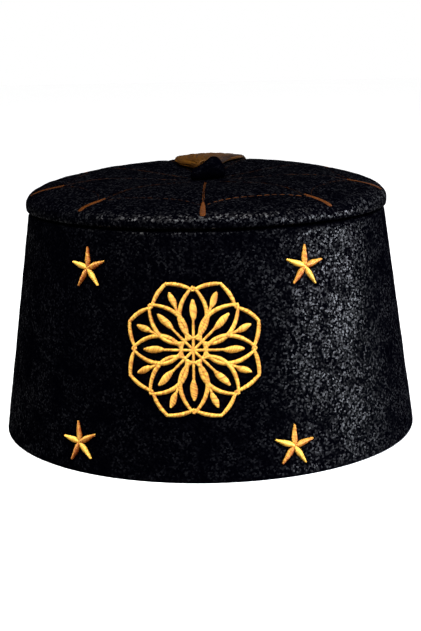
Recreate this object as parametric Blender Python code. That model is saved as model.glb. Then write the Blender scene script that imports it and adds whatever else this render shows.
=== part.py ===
"""A round black velvet cap with a dished top, a velvet stem, a gold tassel and gold embroidery.

The cap stands on its rim with its embroidered front towards -Y and +Z up. The origin is the
middle of the rim, on the surface that the cap stands on. Lengths are in metres, and angles
in degrees. Each sub-part is one closed solid with a material of its own, and neighbouring
solids keep GAP between them.
"""

import math

import bmesh
import bpy
import numpy as np
from mathutils import Vector
from mathutils.geometry import delaunay_2d_cdt, interpolate_bezier

MM = 0.001

# Driving dimensions
RIM_RADIUS = 93.9 * MM
NECK_RADIUS = 79.7 * MM  # the wall's face where it meets the top
SEAM_HEIGHT = 98.9 * MM
CLOTH = 3.0 * MM  # velvet over its stiffening
HEM_ROUND = 1.0 * MM
GAP = 0.3 * MM
SEGMENTS = 72  # sides of every round solid

# The top's outer face from the seam to the middle. The heading is the way that the line
# runs, 90 for straight up and 180 for level towards the middle, and the pull is the
# length of its handles.
TIP_KNOTS = (
    # radius, height, heading, pull, steps to the next knot
    (79.7 * MM, 99.2 * MM, 78, 1.3 * MM, 2),
    (80.8 * MM, 102.8 * MM, 92, 4.2 * MM, 5),
    (68.3 * MM, 110.4 * MM, 169, 8.0 * MM, 3),
    (43.0 * MM, 113.6 * MM, 180, 11.0 * MM, 5),
    (0.0, 111.0 * MM, 180, 13.0 * MM, 0),
)
BACK_RISE = 3.0 * MM  # the top stands this much higher at the back, and lower at the front
ROLL_HEIGHT = 12.0 * MM  # the rise grows to its full value over this height above the seam
LEVEL_RADIUS = 60.0 * MM  # inside this radius the rise is a plain tilt

# The stem is a rolled loop of velvet, pressed together, whose right side stands taller.
STEM_ROWS = (
    # across, back, middle height, half height, half depth
    (-6.3 * MM, -4.0 * MM, 113.4 * MM, 0.9 * MM, 1.5 * MM),
    (-5.5 * MM, -3.9 * MM, 113.8 * MM, 1.9 * MM, 2.6 * MM),
    (-3.4 * MM, -3.6 * MM, 114.3 * MM, 2.7 * MM, 3.2 * MM),
    (-0.8 * MM, -2.0 * MM, 115.2 * MM, 3.5 * MM, 3.4 * MM),
    (3.4 * MM, 0.0 * MM, 116.5 * MM, 4.5 * MM, 4.2 * MM),
    (6.3 * MM, 1.0 * MM, 116.0 * MM, 3.9 * MM, 3.9 * MM),
    (8.1 * MM, 1.2 * MM, 114.9 * MM, 2.3 * MM, 2.6 * MM),
    (8.7 * MM, 1.2 * MM, 114.5 * MM, 0.9 * MM, 1.2 * MM),
)
STEM_SIDES = 12
STEM_STATIONS = 12

# The tassel runs from its head behind the stem, over the top and down the back. The run
# is measured along the faces that it lies on, from the middle of the top, and the offset
# is how far to the right the skein's middle lies. The valley is the depth between two
# locks, as a share of the depth at their crests.
TASSEL_ROWS = (
    # run, offset, half width, lift, depth, valley
    (7.5 * MM, -0.6 * MM, 2.6 * MM, 2.6 * MM, 4.4 * MM, 0.80),
    (14.0 * MM, -1.2 * MM, 4.2 * MM, 1.2 * MM, 5.0 * MM, 0.84),
    (22.0 * MM, -2.2 * MM, 5.8 * MM, 0.5 * MM, 4.6 * MM, 0.86),
    (30.0 * MM, -4.2 * MM, 10.2 * MM, 0.4 * MM, 3.6 * MM, 0.88),
    (38.0 * MM, -4.0 * MM, 13.0 * MM, 0.4 * MM, 3.0 * MM, 0.88),
    (48.0 * MM, -1.4 * MM, 16.0 * MM, 0.4 * MM, 2.5 * MM, 0.88),
    (60.0 * MM, -0.9 * MM, 16.0 * MM, 0.4 * MM, 2.4 * MM, 0.88),
    (72.0 * MM, -0.4 * MM, 16.0 * MM, 0.4 * MM, 3.0 * MM, 0.80),
    (95.0 * MM, 0.0, 15.4 * MM, 0.4 * MM, 4.6 * MM, 0.68),
    (126.0 * MM, 0.0, 13.8 * MM, 0.4 * MM, 4.8 * MM, 0.66),
)
TASSEL_LOCKS = 7
TASSEL_STEP = 6.0 * MM
LOCK_SHOULDER = 0.24  # how far a lock has dropped halfway to its valley, as a share of the valley's drop
LOCK_WANDER = 0.09
SIDE_THINNING = 0.5  # how much thinner the outermost locks are than the middle one
END_LENGTH = 22.0 * MM  # the stretch over which the locks' ends thin out
END_DEPTH = 0.45
RAGGED = 4.0 * MM  # how far the locks' ends differ
NOTCH = 3.0 * MM  # how far the valleys between them stop short

# Embroidered stars: where each one sits on the wall, how far it is turned anticlockwise
# as seen from outside, and the distance from its middle to its points.
STARS = (
    # name, azimuth, height, turn, reach
    ("star_upper_left", -31.9, 82.8 * MM, 5.0, 8.7 * MM),
    ("star_upper_right", 32.2, 83.0 * MM, -5.0, 8.7 * MM),
    ("star_lower_left", -31.4, 12.5 * MM, 10.0, 8.8 * MM),
    ("star_lower_right", 25.3, 12.5 * MM, -4.5, 8.7 * MM),
)
STAR_POINTS = 5
STAR_WAIST = 0.36  # distance from the middle to the hollows between two points, over the reach
STAR_EDGE = 0.45 * MM
STAR_CREST = 1.15 * MM
STAR_GAP = 0.35 * MM  # a star's flat back spans a little of the wall's curve

# The roundel is one sector of strokes, repeated round its middle. A place is a radius and
# an angle from the sector's own axis.
ROUNDEL_HEIGHT = 52.7 * MM
ROUNDEL_SECTORS = 8
ROUNDEL_THICKNESS = 0.8 * MM
STROKES = (
    # start, first handle, second handle, end, widths at start, middle and end (mm), steps, mirrored
    ((4.6, 0), (9.0, 40), (18.5, 28), (25.0, 0), (1.0, 1.7, 0.8), 7, True),
    ((23.4, 0), (25.6, 7), (27.2, 15), (28.2, 23.2), (0.8, 1.6, 1.0), 3, True),
    ((4.9, 0), (8.0, 0), (10.0, 0), (12.6, 0), (1.0, 0.9, 0.8), 1, False),
    ((11.8, 0), (14.0, 0), (17.0, 0), (20.0, 0), (0.9, 3.0, 0.5), 4, False),
    ((14.0, 22.5), (15.5, 22.5), (17.0, 22.5), (19.0, 22.5), (1.0, 1.0, 1.0), 1, False),
    ((18.4, 22.5), (20.0, 22.5), (22.0, 22.5), (24.6, 22.5), (0.9, 2.7, 0.5), 4, False),
    ((4.9, 22.5), (6.0, 22.5), (7.2, 22.5), (8.8, 22.5), (0.9, 1.8, 0.5), 3, False),
)
RING_RADIUS = 4.9  # mm
RING_WIDTH = 1.3  # mm
RING_STEPS = 24
RAY_WIDTH = 1.0  # mm

SLANT = math.atan2(RIM_RADIUS - NECK_RADIUS, SEAM_HEIGHT)


def material(name, colour, roughness, metallic=0.0):
    """A Principled material of one colour."""
    made = bpy.data.materials.new(name)
    made.use_nodes = True
    shader = made.node_tree.nodes["Principled BSDF"]
    shader.inputs["Base Color"].default_value = (*colour, 1.0)
    shader.inputs["Roughness"].default_value = roughness
    shader.inputs["Metallic"].default_value = metallic
    return made


def solid(name, points, faces, finish, smooth_angle=40):
    """An object made of these points and faces, its normals turned outwards."""
    mesh = bpy.data.meshes.new(name)
    shape = bmesh.new()
    corners = [shape.verts.new(point) for point in points]
    for face in faces:
        shape.faces.new([corners[index] for index in face])
    bmesh.ops.recalc_face_normals(shape, faces=shape.faces)
    shape.to_mesh(mesh)
    shape.free()
    mesh.materials.append(finish)
    mesh.shade_smooth()
    mesh.set_sharp_from_angle(angle=math.radians(smooth_angle))
    made = bpy.data.objects.new(name, mesh)
    bpy.context.collection.objects.link(made)
    return made


def blended(rows, count):
    """This many rows, evenly spread on a Catmull-Rom curve through the given ones."""
    rows = [Vector(row) for row in rows]
    padded = [rows[0] * 2 - rows[1], *rows, rows[-1] * 2 - rows[-2]]
    made = []
    for step in range(count):
        place = step * (len(rows) - 1) / (count - 1)
        first = min(int(place), len(rows) - 2)
        t = place - first
        before, start, end, after = padded[first : first + 4]
        slope_in = (end - before) / 2
        slope_out = (after - start) / 2
        made.append(
            start * (1 - 3 * t**2 + 2 * t**3)
            + end * (3 * t**2 - 2 * t**3)
            + slope_in * (t - 2 * t**2 + t**3)
            + slope_out * (t**3 - t**2)
        )
    return made


def wall_radius(height):
    """Radius of the wall's velvet face at a height above the rim."""
    return RIM_RADIUS + (NECK_RADIUS - RIM_RADIUS) * height / SEAM_HEIGHT


def on_wall(azimuth, height, across, up, out):
    """A point at a distance across, up and out from a place on the wall's face."""
    face_height = height + up * math.cos(SLANT)
    radius = wall_radius(face_height)
    angle = math.radians(azimuth) + across / radius
    radius += out * math.cos(SLANT)
    z = face_height + out * math.sin(SLANT)
    return Vector((radius * math.sin(angle), -radius * math.cos(angle), z))


def rise_share(radius, height):
    """How much of BACK_RISE a point of the top takes."""
    grown = (height - SEAM_HEIGHT - GAP) / ROLL_HEIGHT
    return min(max(grown, 0.0), 1.0) * min(radius / LEVEL_RADIUS, 1.0)


def tip_outline():
    """The top's outer face from the seam to the middle, as (radius, height) points."""
    points = []
    for start, end in zip(TIP_KNOTS, TIP_KNOTS[1:]):
        ends = []
        for (radius, height, heading, pull, _), side in ((start, 1), (end, -1)):
            way = math.radians(heading)
            pull *= side
            handle = (radius + pull * math.cos(way), height + pull * math.sin(way))
            ends.append((Vector((radius, height, 0)), Vector((*handle, 0))))
        (first, pull_out), (last, pull_in) = ends
        steps = start[4]
        points += interpolate_bezier(first, pull_out, pull_in, last, steps + 1)[:-1]
    points.append(Vector((TIP_KNOTS[-1][0], TIP_KNOTS[-1][1], 0)))
    return [(point.x, point.y) for point in points]


def inset(points, depth):
    """The same line moved by depth to its left-hand side."""
    moved = []
    for index, (radius, height) in enumerate(points):
        before = points[max(index - 1, 0)]
        after = points[min(index + 1, len(points) - 1)]
        along = Vector((after[0] - before[0], after[1] - before[1])).normalized()
        if radius == 0.0:
            along = Vector((-1.0, 0.0))
        moved.append((radius - along.y * depth, height + along.x * depth))
    return moved


def ringed(name, outline, closed, finish):
    """A solid turned round Z from (radius, height, rise) points.

    The rise lifts the back and lowers the front by that much.
    """
    points, rings = [], []
    for radius, height, rise in outline:
        count = SEGMENTS if radius > 0.0 else 1
        rings.append(range(len(points), len(points) + count))
        for step in range(count):
            angle = math.tau * step / SEGMENTS
            z = height - (rise * math.cos(angle) if count > 1 else 0.0)
            points.append((radius * math.sin(angle), -radius * math.cos(angle), z))
    faces = []
    follow = rings[1:] + rings[:1] if closed else rings[1:]
    for ring, other in zip(rings, follow):
        if len(ring) == len(other) == 1:
            continue
        for step in range(SEGMENTS):
            after = (step + 1) % SEGMENTS
            if len(ring) == 1:
                faces.append((ring[0], other[after], other[step]))
            elif len(other) == 1:
                faces.append((ring[step], ring[after], other[0]))
            else:
                faces.append((ring[step], ring[after], other[after], other[step]))
    return solid(name, points, faces, finish)


def hem_arc(radius, first_angle):
    """A quarter of the hem's rounding, ending a quarter turn clockwise of where it starts."""
    steps = 3
    return [
        (
            radius + HEM_ROUND * math.cos(math.radians(first_angle - 90 * step / steps)),
            HEM_ROUND + HEM_ROUND * math.sin(math.radians(first_angle - 90 * step / steps)),
            0.0,
        )
        for step in range(steps + 1)
    ]


def build_wall(finish):
    outer = wall_radius(HEM_ROUND) - HEM_ROUND
    inner = wall_radius(HEM_ROUND) - CLOTH + HEM_ROUND
    top = [(NECK_RADIUS - CLOTH, SEAM_HEIGHT, 0.0), (NECK_RADIUS, SEAM_HEIGHT, 0.0)]
    outline = top + hem_arc(outer, 0) + hem_arc(inner, -90)
    return ringed("wall", outline, True, finish)


def build_tip(finish):
    face = tip_outline()
    under = inset(face, CLOTH)
    under[0] = (NECK_RADIUS - CLOTH, SEAM_HEIGHT + GAP)
    rises = [BACK_RISE * rise_share(*point) for point in face]
    upper = [(*point, rise) for point, rise in zip(face, rises)]
    lower = [(*point, rise) for point, rise in zip(under, rises)]
    kept = [lower[0], *lower[2:-1:2], lower[-1]]
    outline = upper + kept[::-1]
    return ringed("tip", outline, True, finish)


def build_stem(finish):
    """Upright oval sections from the stem's low left side to its tall right side."""
    points, faces = [], []
    for row in blended(STEM_ROWS, STEM_STATIONS):
        across, back, middle, half_height, half_depth = row
        for side in range(STEM_SIDES):
            angle = math.tau * side / STEM_SIDES
            y = back + half_depth * math.cos(angle)
            points.append((across, y, middle + half_height * math.sin(angle)))
    for index in range(STEM_STATIONS - 1):
        for side in range(STEM_SIDES):
            near = index * STEM_SIDES
            far = near + STEM_SIDES
            after = (side + 1) % STEM_SIDES
            faces.append((near + side, near + after, far + after, far + side))
    faces.append(tuple(range(STEM_SIDES))[::-1])
    faces.append(tuple(range(len(points) - STEM_SIDES, len(points))))
    return solid("stem", points, faces, finish, 60)


def drape_line():
    """The line down the cap's back that the tassel lies on, as (run, place, normal) rows.

    It follows the top to its widest place, drops straight past the seam to where the
    wall is as wide, and goes down the wall. A place is a radius and a height. The normals
    are as long as it takes to keep a line moved along them parallel to this one.
    """
    widest = TIP_KNOTS[1][0]
    places = []
    for radius, height in tip_outline()[TIP_KNOTS[0][4] :][::-1]:
        places.append(Vector((radius, height + BACK_RISE * rise_share(radius, height))))
    touch = SEAM_HEIGHT * (RIM_RADIUS - widest) / (RIM_RADIUS - NECK_RADIUS)
    places += [Vector((widest, touch)), Vector((RIM_RADIUS, 0.0))]
    ways = [(after - place).normalized() for place, after in zip(places, places[1:])]
    sides = [Vector((-way.y, way.x)) for way in ways]
    rows, run = [], 0.0
    for index, place in enumerate(places):
        before, after = sides[max(index - 1, 0)], sides[min(index, len(sides) - 1)]
        rows.append((run, place, (before + after) / (1 + before.dot(after))))
        if index < len(ways):
            run += (places[index + 1] - place).length
    return rows


def on_drape(line, across, run, out):
    """A point at a run along the line, a distance out from it and a distance across."""
    index = max(step for step in range(len(line) - 1) if line[step][0] <= run)
    (start, place, normal), (end, next_place, next_normal) = line[index : index + 2]
    share = (run - start) / (end - start)
    spot = (place + normal * out).lerp(next_place + next_normal * out, share)
    return Vector((across, math.sqrt(spot.x**2 - across**2), spot.y))


def tassel_stations(line):
    """Runs at which the tassel's section is drawn, with the line's own corners among them."""
    first, last = TASSEL_ROWS[0][0], TASSEL_ROWS[-1][0]
    corners = [first, *(row[0] for row in line if first < row[0] < last), last]
    runs = []
    for start, end in zip(corners, corners[1:]):
        parts = math.ceil((end - start) / TASSEL_STEP)
        runs += [start + (end - start) * part / parts for part in range(parts)]
    return [*runs, last]


def build_tassel(finish):
    line = drape_line()
    runs = tassel_stations(line)
    rows = np.array(TASSEL_ROWS)
    points, faces = [], []
    for index, run in enumerate(runs):
        offset, half_width, lift, depth, valley = (
            np.interp(run, rows[:, 0], rows[:, k]) for k in range(1, 6)
        )
        shoulder = 1 - LOCK_SHOULDER * (1 - valley)
        past = max(0.0, 1 - (runs[-1] - run) / END_LENGTH)
        depth *= 1 - (1 - END_DEPTH) * past**2
        section = []
        for lock in range(TASSEL_LOCKS + 1):
            across = half_width * (2 * lock / TASSEL_LOCKS - 1)
            section.append((offset + across, run - NOTCH * past, lift))
        top = []
        for part in range(4 * TASSEL_LOCKS + 1):
            lock, quarter = divmod(part, 4)
            across = half_width * (2 * part / (4 * TASSEL_LOCKS) - 1)
            share = (valley, shoulder, 1.0, shoulder)[quarter]
            share *= 1 - SIDE_THINNING * (across / half_width) ** 2
            longer = -NOTCH
            if quarter:
                share *= 1 + LOCK_WANDER * math.sin(2.3 * lock + 0.31 * index)
                longer = RAGGED * math.sin(1.9 * lock + 0.6)
            top.append((offset + across, run + longer * past, lift + depth * share))
        section += top[::-1]
        points += [on_drape(line, *place) for place in section]
    count = 5 * TASSEL_LOCKS + 2
    for index in range(len(runs) - 1):
        near = index * count
        far = near + count
        for step in range(count):
            after = (step + 1) % count
            faces.append((near + step, near + after, far + after, far + step))
    faces.append(tuple(range(count))[::-1])
    faces.append(tuple(range(len(points) - count, len(points))))
    return solid("tassel", points, faces, finish, 60)


def build_star(name, azimuth, height, turn, reach, finish):
    """A five-pointed star with a crest along each arm, its back on the wall's face."""
    count = 2 * STAR_POINTS
    outline = []
    for index in range(count):
        angle = math.radians(90 + turn + 360 * index / count)
        distance = reach * (STAR_WAIST if index % 2 else 1.0)
        outline.append((distance * math.cos(angle), distance * math.sin(angle)))
    points = [on_wall(azimuth, height, 0.0, 0.0, STAR_GAP)]
    points += [on_wall(azimuth, height, *place, STAR_GAP) for place in outline]
    points.append(on_wall(azimuth, height, 0.0, 0.0, STAR_GAP + STAR_CREST))
    points += [on_wall(azimuth, height, *place, STAR_GAP + STAR_EDGE) for place in outline]
    faces = []
    for index in range(count):
        low, low_next = 1 + index, 1 + (index + 1) % count
        high, high_next = low + count + 1, low_next + count + 1
        faces.append((0, low_next, low))
        faces.append((count + 1, high, high_next))
        faces.append((low, low_next, high_next, high))
    return solid(name, points, faces, finish, 20)


def polar(radius, angle):
    """A place in the roundel's own plane, in millimetres, with angle 0 straight up."""
    return Vector((radius * math.sin(angle), radius * math.cos(angle), 0.0))


def stroke_outline(places, widths):
    """The edge of a stroke along these places, its width read between three values."""
    start, middle, end = widths
    bend = 2 * middle - (start + end) / 2
    left, right = [], []
    for index, place in enumerate(places):
        t = index / (len(places) - 1)
        half = (start * (1 - t) ** 2 + 2 * bend * t * (1 - t) + end * t**2) / 2
        before = places[max(index - 1, 0)]
        after = places[min(index + 1, len(places) - 1)]
        along = (after - before).normalized()
        side = Vector((-along.y, along.x, 0.0)) * half
        left.append(place + side)
        right.append(place - side)
    return right + left[::-1]


def roundel_outlines():
    """The outlines of all the roundel's strokes, in its own plane and in millimetres."""
    outlines = []
    for sector in range(ROUNDEL_SECTORS):
        axis = math.tau * sector / ROUNDEL_SECTORS
        for start, pull_out, pull_in, end, widths, steps, mirrored in STROKES:
            for side in (1, -1) if mirrored else (1,):
                corners = [
                    polar(radius, axis + side * math.radians(angle))
                    for radius, angle in (start, pull_out, pull_in, end)
                ]
                places = interpolate_bezier(*corners, steps + 1)
                outlines.append(stroke_outline(places, widths))
        ray = [polar(0.0, axis), polar(RING_RADIUS, axis)]
        outlines.append(stroke_outline(ray, (RAY_WIDTH, RAY_WIDTH, RAY_WIDTH)))
    half = RING_STEPS // 2
    for first in (0, half):
        ring = [
            polar(RING_RADIUS, math.tau * (first + step) / RING_STEPS)
            for step in range(half + 2)
        ]
        outlines.append(stroke_outline(ring, (RING_WIDTH, RING_WIDTH, RING_WIDTH)))
    return outlines


def inside_any(spots, outlines):
    """Which of the spots (rows of x, y) lie inside at least one outline."""
    found = np.zeros(len(spots), bool)
    for outline in outlines:
        crossings = np.zeros(len(spots), int)
        for a, b in zip(outline, outline[1:] + outline[:1]):
            spans = (a.y > spots[:, 1]) != (b.y > spots[:, 1])
            rise = b.y - a.y if b.y != a.y else 1.0
            meets = a.x + (spots[:, 1] - a.y) * (b.x - a.x) / rise
            crossings += spans & (spots[:, 0] < meets)
        found |= crossings % 2 == 1
    return found


def build_roundel(finish):
    """One flat relief from all the strokes, joined where they cross and laid on the wall."""
    outlines = roundel_outlines()
    places, edges = [], []
    for outline in outlines:
        first, count = len(places), len(outline)
        edges += [(first + step, first + (step + 1) % count) for step in range(count)]
        places += [Vector((place.x, place.y)) for place in outline]
    flat, _, triangles, _, _, _ = delaunay_2d_cdt(places, edges, [], 0, 1e-4)
    centres = np.array([np.mean([flat[corner] for corner in face], 0) for face in triangles])
    kept = inside_any(centres, outlines)
    triangles = [face for face, inside in zip(triangles, kept) if inside]
    used = sorted({corner for face in triangles for corner in face})
    number = {corner: index for index, corner in enumerate(used)}
    triangles = [[number[corner] for corner in face] for face in triangles]
    levels = (GAP, GAP + ROUNDEL_THICKNESS)
    points = [
        on_wall(0.0, ROUNDEL_HEIGHT, flat[corner].x * MM, flat[corner].y * MM, out)
        for out in levels
        for corner in used
    ]
    count = len(used)
    borders = {}
    for face in triangles:
        for edge in zip(face, face[1:] + face[:1]):
            key = tuple(sorted(edge))
            borders[key] = None if key in borders else edge
    faces = [face[::-1] for face in triangles]
    faces += [[corner + count for corner in face] for face in triangles]
    for edge in filter(None, borders.values()):
        faces.append((edge[0], edge[1], edge[1] + count, edge[0] + count))
    return solid("roundel", points, faces, finish, 30)


def main():
    for leftover in list(bpy.data.objects):
        bpy.data.objects.remove(leftover, do_unlink=True)
    velvet = material("black_velvet", (0.006, 0.006, 0.008), 0.85)
    gold_thread = material("gold_thread", (0.80, 0.47, 0.08), 0.40, 0.2)
    gold_silk = material("gold_silk", (0.42, 0.22, 0.04), 0.45)
    build_wall(velvet)
    build_tip(velvet)
    build_stem(velvet)
    build_tassel(gold_silk)
    for row in STARS:
        build_star(*row, gold_thread)
    build_roundel(gold_thread)


main()
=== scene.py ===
# %% [markdown]
# A round black velvet cap
#
# The cap is a stiff round shell: a slightly tapering wall, a top that bulges over the
# seam, and a short velvet stem in the middle with a gold silk tassel behind it. The wall
# carries an embroidered roundel and four stars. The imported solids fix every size, and
# this script dresses them: velvet with a crushed pile, and gold yarn laid thread by
# thread, because up close one sees the stitches and not a flat gold colour.

# %% Load the frame
import math

import bmesh
import bpy
import numpy as np
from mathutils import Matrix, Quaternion, Vector, noise
from mathutils.geometry import interpolate_bezier


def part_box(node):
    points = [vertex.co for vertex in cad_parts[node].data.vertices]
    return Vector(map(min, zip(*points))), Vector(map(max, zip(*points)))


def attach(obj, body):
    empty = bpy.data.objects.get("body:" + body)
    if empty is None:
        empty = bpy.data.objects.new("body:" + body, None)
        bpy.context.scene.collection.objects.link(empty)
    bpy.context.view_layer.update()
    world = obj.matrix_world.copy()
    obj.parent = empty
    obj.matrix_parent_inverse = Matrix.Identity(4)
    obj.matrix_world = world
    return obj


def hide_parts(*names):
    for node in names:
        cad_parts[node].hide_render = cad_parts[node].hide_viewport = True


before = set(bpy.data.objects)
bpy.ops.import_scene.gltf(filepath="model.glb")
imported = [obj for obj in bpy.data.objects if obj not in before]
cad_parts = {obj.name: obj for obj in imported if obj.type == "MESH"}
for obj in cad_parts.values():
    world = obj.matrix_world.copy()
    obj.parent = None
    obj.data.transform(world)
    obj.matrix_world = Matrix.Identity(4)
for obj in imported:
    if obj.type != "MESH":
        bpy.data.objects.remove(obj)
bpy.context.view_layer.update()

MM = 0.001
print("solids", sorted(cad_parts))

# %% [markdown]
# Camera
#
# The cap is seen from a little above and a little to the right of its front. A camera
# can be dragged into place by eye, but here it is set from where it stands, how far it
# looks down, and the slight roll that a hand-held picture has, so that each of the three
# can be changed without touching the others.

# %% Set up the camera
CAMERA_PLACE = Vector((39.98, -558.57, 168.46)) * MM
CAMERA_HEADING = math.radians(4.0)  # left of straight ahead
CAMERA_PITCH = math.radians(12.14)  # down
CAMERA_ROLL = math.radians(-1.157)
LENS = 70.8  # mm
SENSOR = 36.0  # mm, along the picture's long side


def make_camera():
    """A camera with the heading, pitch, roll and lens above."""
    level = Vector((-math.sin(CAMERA_HEADING), math.cos(CAMERA_HEADING), 0.0))
    look = level * math.cos(CAMERA_PITCH) - Vector((0.0, 0.0, math.sin(CAMERA_PITCH)))
    made = bpy.data.objects.new("camera", bpy.data.cameras.new("camera"))
    bpy.context.collection.objects.link(made)
    made.location = CAMERA_PLACE
    made.rotation_mode = "QUATERNION"
    roll = Quaternion((0.0, 0.0, 1.0), CAMERA_ROLL)
    made.rotation_quaternion = look.to_track_quat("-Z", "Y") @ roll
    made.data.lens = LENS
    made.data.sensor_width = SENSOR
    return made


bpy.context.scene.camera = make_camera()
print("camera in mm", [round(value / MM, 1) for value in CAMERA_PLACE])

# %% [markdown]
# Node helpers
#
# Materials are node trees. Clicking them together is slow and hard to read afterwards,
# so small helpers write them down: one adds a node with its settings and inputs, one
# links outputs on to the next node, one starts a material, and one makes a group whose
# sockets have names, which materials then place like any other node.

# %% Write nodes down
def node(tree, kind, inputs=None, **settings):
    """A new node. An input is a value, or an output socket to link from."""
    made = tree.nodes.new(kind)
    for key, value in settings.items():
        setattr(made, key, value)
    for key, value in (inputs or {}).items():
        if isinstance(value, bpy.types.NodeSocket):
            tree.links.new(value, made.inputs[key])
        else:
            made.inputs[key].default_value = value
    return made


def feed(tree, inputs, sources):
    """Links outputs to the inputs of these names."""
    for key, source in sources.items():
        tree.links.new(source, inputs[key])


def new_material(name, plain):
    """A material, its tree and its shader's inputs, some of which get plain values."""
    made = bpy.data.materials.new(name)
    made.use_nodes = True
    inputs = made.node_tree.nodes["Principled BSDF"].inputs
    for key, value in plain.items():
        inputs[key].default_value = value
    return made, made.node_tree, inputs


def math_node(tree, operation, first, second=0.0):
    """The output of a Math node."""
    return node(tree, "ShaderNodeMath", {0: first, 1: second}, operation=operation).outputs[0]


def ranged(tree, value, low, high, to_low=0.0, to_high=1.0):
    """The value with low..high stretched to to_low..to_high and held at the ends."""
    ends = {"From Min": low, "From Max": high, "To Min": to_low, "To Max": to_high}
    return node(tree, "ShaderNodeMapRange", {"Value": value, **ends}).outputs["Result"]


def mixed(tree, share, first, second):
    """The colour between two colours."""
    inputs = {"Factor": share, 6: first, 7: second}
    return node(tree, "ShaderNodeMix", inputs, data_type="RGBA").outputs[2]


def group(name, inputs, outputs):
    """A shader node group with these sockets, and its input and output nodes."""
    made = bpy.data.node_groups.new(name, "ShaderNodeTree")
    for label, (kind, value) in inputs.items():
        socket = made.interface.new_socket(label, in_out="INPUT", socket_type=kind)
        socket.default_value = value
    for label, kind in outputs.items():
        made.interface.new_socket(label, in_out="OUTPUT", socket_type=kind)
    return made, node(made, "NodeGroupInput").outputs, node(made, "NodeGroupOutput").inputs


NUMBER, COLOUR = "NodeSocketFloat", "NodeSocketColor"
print("sockets are", NUMBER, "and", COLOUR)

# %% [markdown]
# Crushed pile
#
# Velvet is a cloth with short upright hair. Light that falls on it sinks between the
# hairs, so it is almost black, and only tufts that lean the right way glint. In crushed
# velvet the tufts lean differently from patch to patch, which gives cloudy light and dark
# areas with a fine salt of glints over them. Real hairs would need millions of strands. A
# group makes the same effect from cells and clouds: each cell is a tuft with its own
# random gloss, and clouds some millimetres wide let more or fewer of them shine.

# %% Make the crushed pile group
CLOUD_EDGE = 0.12  # half of the cloud's range over which dark turns into bright
BARE_CLOUD, COVERED_CLOUD = 0.72, 0.28  # where that range lies at a cover of 0 and of 1
TUFT_POWER = 5.0  # the higher, the fewer tufts glint
DARK_TUFTS = 0.08  # how much of the gloss is left between the bright patches
PRESSED_AND_SHADED_TUFTS = 0.12  # and where the pile is pressed down and in painted shade
# Under a glinting tuft the cloth is painted paler, from DARK_PILE to LIT_PILE: a painted glint.
DARK_PILE, LIT_PILE = (0.0002, 0.0002, 0.0007, 1.0), (0.0012, 0.0013, 0.0024, 1.0)


def make_crushed_pile():
    """The group, from clouds of bright patches and cells with a random gloss each."""
    inputs = {
        "Patch Size": (NUMBER, 9.0 * MM),
        "Tuft Size": (NUMBER, 0.8 * MM),
        "Cover": (NUMBER, 0.5),
        "Shine": (NUMBER, 0.6),
        "Pressed And Shaded": (NUMBER, 0.0),
    }
    outputs = {"Colour": COLOUR, "Gloss": NUMBER, "Height": NUMBER}
    tree, given, out = group("crushed_pile", inputs, outputs)
    place = node(tree, "ShaderNodeTexCoord").outputs["Object"]
    clouds = node(
        tree,
        "ShaderNodeTexNoise",
        {
            "Vector": place,
            "Scale": math_node(tree, "DIVIDE", 1.0, given["Patch Size"]),
            "Detail": 3.0,
            "Roughness": 0.62,
            "Distortion": 0.8,
        },
    ).outputs["Fac"]
    tufts = node(
        tree,
        "ShaderNodeTexVoronoi",
        {"Vector": place, "Scale": math_node(tree, "DIVIDE", 1.0, given["Tuft Size"])},
    )
    chance = node(tree, "ShaderNodeSeparateColor", {"Color": tufts.outputs["Color"]}).outputs["Red"]
    shift = math_node(tree, "MULTIPLY", given["Cover"], BARE_CLOUD - COVERED_CLOUD)
    middle = math_node(tree, "SUBTRACT", BARE_CLOUD, shift)
    low = math_node(tree, "SUBTRACT", middle, CLOUD_EDGE)
    high = math_node(tree, "ADD", middle, CLOUD_EDGE)
    cloud = ranged(tree, clouds, low, high, DARK_TUFTS, 1.0)
    free = ranged(tree, given["Pressed And Shaded"], 0.0, 1.0, 1.0, PRESSED_AND_SHADED_TUFTS)
    lit = math_node(tree, "MULTIPLY", math_node(tree, "POWER", chance, TUFT_POWER), cloud)
    lit = math_node(tree, "MULTIPLY", lit, free)
    made = {
        "Colour": mixed(tree, lit, DARK_PILE, LIT_PILE),
        "Gloss": math_node(tree, "MULTIPLY", lit, given["Shine"]),
        "Height": math_node(tree, "ADD", math_node(tree, "MULTIPLY", clouds, 1.5), chance),
    }
    feed(tree, out, made)
    return tree


crushed_pile = make_crushed_pile()
print("group", crushed_pile.name, [item.name for item in crushed_pile.interface.items_tree])

# %% [markdown]
# Velvet
#
# The wall, the top and the stem are cut from one velvet, but the pile lies differently on
# each, so each gets its own patch size and share of bright patches. The cloth itself is
# almost black and dull. The glints are a coat over it, whose weight the tufts steer, so a
# tuft shines or stays dark, and under a shining tuft the cloth is painted a little paler:
# a painted glint. Where a stitch presses the pile down, and where shade beside it is
# painted, the mesh carries a value called pressed_and_shaded, and no tuft shines.

# %% Make the velvets
DULL = {"Roughness": 1.0, "Specular IOR Level": 0.0}
TUFT_COAT = {"Coat Roughness": 0.39, "Coat IOR": 1.5, "Coat Tint": (0.80, 0.84, 1.0, 1.0)}
TUFT_SIZE = 0.7 * MM
TUFT_BUMP = 0.3 * MM


def velvet(name, patch, cover, shine):
    """A velvet material. The patch is a length, and cover the share of bright patches."""
    made, tree, inputs = new_material(name, DULL | TUFT_COAT)
    pressed_and_shaded = node(tree, "ShaderNodeAttribute", attribute_name="pressed_and_shaded").outputs["Fac"]
    sizes = {"Patch Size": patch, "Tuft Size": TUFT_SIZE, "Cover": cover, "Shine": shine}
    pile = node(tree, "ShaderNodeGroup", {"Pressed And Shaded": pressed_and_shaded, **sizes}, node_tree=crushed_pile).outputs
    bump = node(tree, "ShaderNodeBump", {"Height": pile["Height"], "Distance": TUFT_BUMP}).outputs
    sources = {"Base Color": pile["Colour"], "Coat Weight": pile["Gloss"], "Normal": bump["Normal"]}
    feed(tree, inputs, sources)
    return made


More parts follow.
